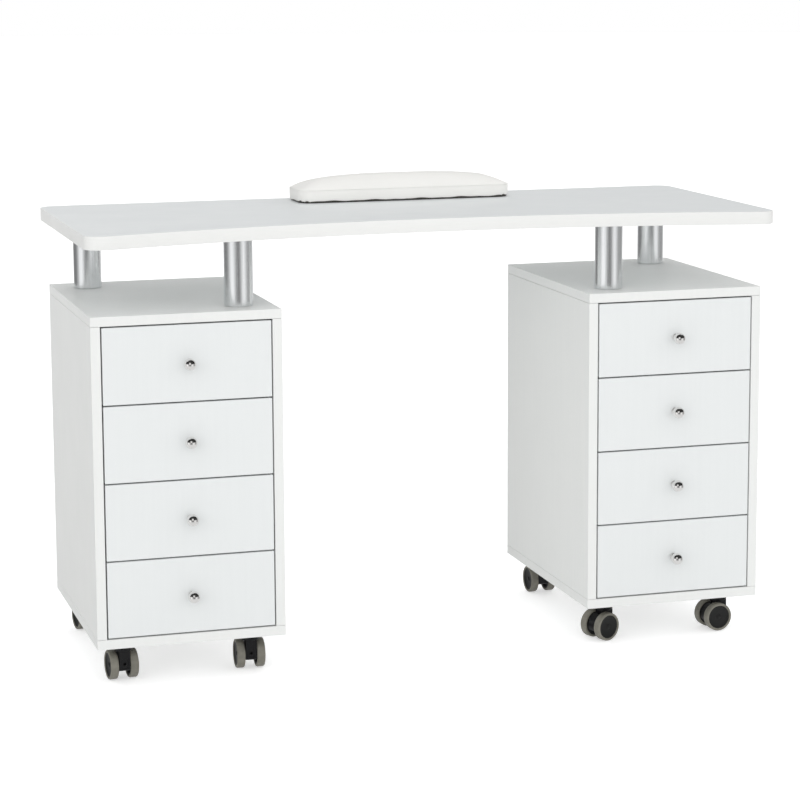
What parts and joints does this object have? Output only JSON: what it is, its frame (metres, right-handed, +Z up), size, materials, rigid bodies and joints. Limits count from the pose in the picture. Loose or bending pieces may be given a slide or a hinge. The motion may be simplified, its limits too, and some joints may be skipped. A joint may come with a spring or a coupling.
{
  "type": "manicure table",
  "caption": "Manicure table: a top with a concave front edge on tube posts over two drawer pedestals on swivel casters, with a loose wrist cushion.",
  "frame": {"origin": "on the floor, under the middle of the tabletop", "axes": "+X along the tabletop, +Z up; the drawers open towards -Y"},
  "size_m": [1.19, 0.5, 0.7974],
  "materials": {
    "tabletop_melamine": "satin white melamine",
    "carcass_melamine": "satin white melamine",
    "drawer_front_melamine": "satin white melamine",
    "drawer_box_board": "matt foil-wrapped board",
    "post_aluminium": "satin anodised",
    "knob_chrome": "polished",
    "caster_housing_plastic": "moulded black",
    "caster_wheel_grey": "matt grey tread",
    "cushion_leatherette": "smooth white leatherette",
    "cushion_base_board": "board with a dark dust cover"
  },
  "bodies": {
    "root": {"tabletop": "tabletop_melamine", "left_bottom_panel": "carcass_melamine", "left_top_panel": "carcass_melamine", "left_outer_side_panel": "carcass_melamine", "left_inner_side_panel": "carcass_melamine", "left_back_panel": "carcass_melamine", "left_front_post": "post_aluminium", "left_back_post": "post_aluminium", "right_bottom_panel": "carcass_melamine", "right_top_panel": "carcass_melamine", "right_outer_side_panel": "carcass_melamine", "right_inner_side_panel": "carcass_melamine", "right_back_panel": "carcass_melamine", "right_front_post": "post_aluminium", "right_back_post": "post_aluminium"},
    "left_drawer_1": {"left_drawer_1_front": "drawer_front_melamine", "left_drawer_1_box": "drawer_box_board", "left_drawer_1_knob": "knob_chrome"},
    "left_drawer_2": {"left_drawer_2_front": "drawer_front_melamine", "left_drawer_2_box": "drawer_box_board", "left_drawer_2_knob": "knob_chrome"},
    "left_drawer_3": {"left_drawer_3_front": "drawer_front_melamine", "left_drawer_3_box": "drawer_box_board", "left_drawer_3_knob": "knob_chrome"},
    "left_drawer_4": {"left_drawer_4_front": "drawer_front_melamine", "left_drawer_4_box": "drawer_box_board", "left_drawer_4_knob": "knob_chrome"},
    "left_front_outer_swivel": {"left_front_outer_caster_housing": "caster_housing_plastic"},
    "left_front_outer_wheels": {"left_front_outer_caster_wheels": "caster_wheel_grey"},
    "left_front_inner_swivel": {"left_front_inner_caster_housing": "caster_housing_plastic"},
    "left_front_inner_wheels": {"left_front_inner_caster_wheels": "caster_wheel_grey"},
    "left_back_outer_swivel": {"left_back_outer_caster_housing": "caster_housing_plastic"},
    "left_back_outer_wheels": {"left_back_outer_caster_wheels": "caster_wheel_grey"},
    "left_back_inner_swivel": {"left_back_inner_caster_housing": "caster_housing_plastic"},
    "left_back_inner_wheels": {"left_back_inner_caster_wheels": "caster_wheel_grey"},
    "right_drawer_1": {"right_drawer_1_front": "drawer_front_melamine", "right_drawer_1_box": "drawer_box_board", "right_drawer_1_knob": "knob_chrome"},
    "right_drawer_2": {"right_drawer_2_front": "drawer_front_melamine", "right_drawer_2_box": "drawer_box_board", "right_drawer_2_knob": "knob_chrome"},
    "right_drawer_3": {"right_drawer_3_front": "drawer_front_melamine", "right_drawer_3_box": "drawer_box_board", "right_drawer_3_knob": "knob_chrome"},
    "right_drawer_4": {"right_drawer_4_front": "drawer_front_melamine", "right_drawer_4_box": "drawer_box_board", "right_drawer_4_knob": "knob_chrome"},
    "right_front_outer_swivel": {"right_front_outer_caster_housing": "caster_housing_plastic"},
    "right_front_outer_wheels": {"right_front_outer_caster_wheels": "caster_wheel_grey"},
    "right_front_inner_swivel": {"right_front_inner_caster_housing": "caster_housing_plastic"},
    "right_front_inner_wheels": {"right_front_inner_caster_wheels": "caster_wheel_grey"},
    "right_back_outer_swivel": {"right_back_outer_caster_housing": "caster_housing_plastic"},
    "right_back_outer_wheels": {"right_back_outer_caster_wheels": "caster_wheel_grey"},
    "right_back_inner_swivel": {"right_back_inner_caster_housing": "caster_housing_plastic"},
    "right_back_inner_wheels": {"right_back_inner_caster_wheels": "caster_wheel_grey"},
    "cushion": {"cushion_base": "cushion_base_board", "cushion_pad": "cushion_leatherette"}
  },
  "joints": [
    {"name": "left_drawer_1_slide", "type": "slide", "parent": "root", "child": "left_drawer_1", "axis": [0, -1, 0], "range_m": [0, 0.26]},
    {"name": "left_drawer_2_slide", "type": "slide", "parent": "root", "child": "left_drawer_2", "axis": [0, -1, 0], "range_m": [0, 0.26]},
    {"name": "left_drawer_3_slide", "type": "slide", "parent": "root", "child": "left_drawer_3", "axis": [0, -1, 0], "range_m": [0, 0.26]},
    {"name": "left_drawer_4_slide", "type": "slide", "parent": "root", "child": "left_drawer_4", "axis": [0, -1, 0], "range_m": [0, 0.26]},
    {"name": "left_front_outer_swivel_turn", "type": "hinge", "parent": "root", "child": "left_front_outer_swivel", "pos_m": [-0.534, -0.158, 0.067], "axis": [0, 0, 1], "continuous": true},
    {"name": "left_front_outer_wheels_roll", "type": "hinge", "parent": "left_front_outer_swivel", "child": "left_front_outer_wheels", "pos_m": [-0.53478, -0.14803, 0.02469], "axis": [0.9969, 0.0785, 0], "continuous": true},
    {"name": "left_front_inner_swivel_turn", "type": "hinge", "parent": "root", "child": "left_front_inner_swivel", "pos_m": [-0.318, -0.158, 0.067], "axis": [0, 0, 1], "continuous": true},
    {"name": "left_front_inner_wheels_roll", "type": "hinge", "parent": "left_front_inner_swivel", "child": "left_front_inner_wheels", "pos_m": [-0.31748, -0.14801, 0.02469], "axis": [0.9986, -0.0523, 0], "continuous": true},
    {"name": "left_back_outer_swivel_turn", "type": "hinge", "parent": "root", "child": "left_back_outer_swivel", "pos_m": [-0.534, 0.167, 0.067], "axis": [0, 0, 1], "continuous": true},
    {"name": "left_back_outer_wheels_roll", "type": "hinge", "parent": "left_back_outer_swivel", "child": "left_back_outer_wheels", "pos_m": [-0.53539, 0.1769, 0.02469], "axis": [0.9903, 0.1392, 0], "continuous": true},
    {"name": "left_back_inner_swivel_turn", "type": "hinge", "parent": "root", "child": "left_back_inner_swivel", "pos_m": [-0.318, 0.167, 0.067], "axis": [0, 0, 1], "continuous": true},
    {"name": "left_back_inner_wheels_roll", "type": "hinge", "parent": "left_back_inner_swivel", "child": "left_back_inner_wheels", "pos_m": [-0.31695, 0.17695, 0.02469], "axis": [0.9945, -0.1045, 0], "continuous": true},
    {"name": "right_drawer_1_slide", "type": "slide", "parent": "root", "child": "right_drawer_1", "axis": [0, -1, 0], "range_m": [0, 0.26]},
    {"name": "right_drawer_2_slide", "type": "slide", "parent": "root", "child": "right_drawer_2", "axis": [0, -1, 0], "range_m": [0, 0.26]},
    {"name": "right_drawer_3_slide", "type": "slide", "parent": "root", "child": "right_drawer_3", "axis": [0, -1, 0], "range_m": [0, 0.26]},
    {"name": "right_drawer_4_slide", "type": "slide", "parent": "root", "child": "right_drawer_4", "axis": [0, -1, 0], "range_m": [0, 0.26]},
    {"name": "right_front_outer_swivel_turn", "type": "hinge", "parent": "root", "child": "right_front_outer_swivel", "pos_m": [0.534, -0.158, 0.067], "axis": [0, 0, 1], "continuous": true},
    {"name": "right_front_outer_wheels_roll", "type": "hinge", "parent": "right_front_outer_swivel", "child": "right_front_outer_wheels", "pos_m": [0.52405, -0.15905, 0.02469], "axis": [-0.1045, 0.9945, 0], "continuous": true},
    {"name": "right_front_inner_swivel_turn", "type": "hinge", "parent": "root", "child": "right_front_inner_swivel", "pos_m": [0.318, -0.158, 0.067], "axis": [0, 0, 1], "continuous": true},
    {"name": "right_front_inner_wheels_roll", "type": "hinge", "parent": "right_front_inner_swivel", "child": "right_front_inner_wheels", "pos_m": [0.30873, -0.16175, 0.02469], "axis": [-0.3746, 0.9272, 0], "continuous": true},
    {"name": "right_back_outer_swivel_turn", "type": "hinge", "parent": "root", "child": "right_back_outer_swivel", "pos_m": [0.534, 0.167, 0.067], "axis": [0, 0, 1], "continuous": true},
    {"name": "right_back_outer_wheels_roll", "type": "hinge", "parent": "right_back_outer_swivel", "child": "right_back_outer_wheels", "pos_m": [0.53192, 0.17678, 0.02469], "axis": [0.9781, 0.2079, 0], "continuous": true},
    {"name": "right_back_inner_swivel_turn", "type": "hinge", "parent": "root", "child": "right_back_inner_swivel", "pos_m": [0.318, 0.167, 0.067], "axis": [0, 0, 1], "continuous": true},
    {"name": "right_back_inner_wheels_roll", "type": "hinge", "parent": "right_back_inner_swivel", "child": "right_back_inner_wheels", "pos_m": [0.31765, 0.17699, 0.02469], "axis": [0.9994, 0.0349, 0], "continuous": true},
    {"name": "cushion_lift_off", "type": "slide", "parent": "root", "child": "cushion", "axis": [0, 0, 1], "range_m": [0, 0.05]}
  ]
}
